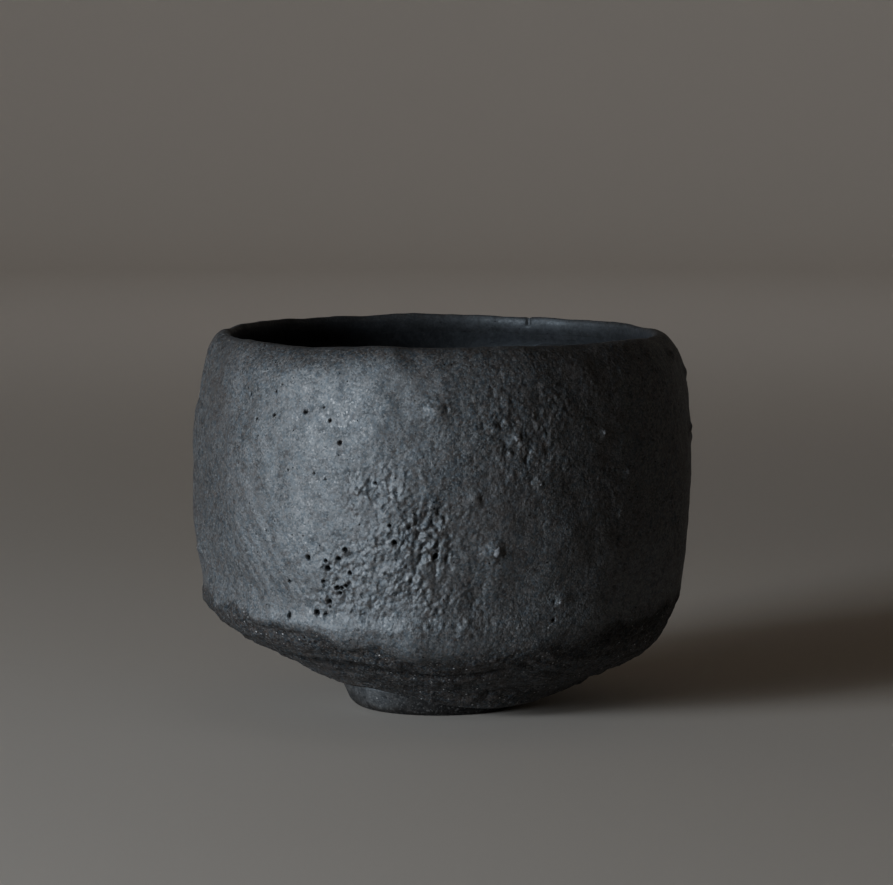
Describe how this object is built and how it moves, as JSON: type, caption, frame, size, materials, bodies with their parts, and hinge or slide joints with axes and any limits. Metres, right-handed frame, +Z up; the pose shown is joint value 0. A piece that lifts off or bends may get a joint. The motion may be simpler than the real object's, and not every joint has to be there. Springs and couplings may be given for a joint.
{
  "type": "matcha bowl",
  "caption": "Round hand-built tea bowl with a nearly upright wall, an inward-turned lip, a flaring underside and a low foot ring, for whisking and drinking powdered tea.",
  "frame": {"origin": "on the table under the centre of the bowl's wall", "axes": "+Z up through the mouth, -Y towards the front face, +X to the right of the front face"},
  "size_m": [0.117, 0.1171, 0.0884],
  "materials": {
    "smoked_clay": "charcoal, carbon-smoked, fine grain with a dull blue-grey sheen",
    "underside_clay": "dark brown-black, trimmed, drier than the wall, with pale specks",
    "foot_clay": "rubbed grey, dry",
    "black_glaze": "satin blue-black",
    "feldspar": "pale grey, half smoked over"
  },
  "bodies": {
    "root": {"foot_ring": "foot_clay", "base": "underside_clay", "lower_coil": "smoked_clay", "middle_coil": "smoked_clay", "upper_coil": "smoked_clay", "lip": "smoked_clay", "inner_glaze": "black_glaze", "stone_grains": "feldspar"}
  },
  "joints": []
}
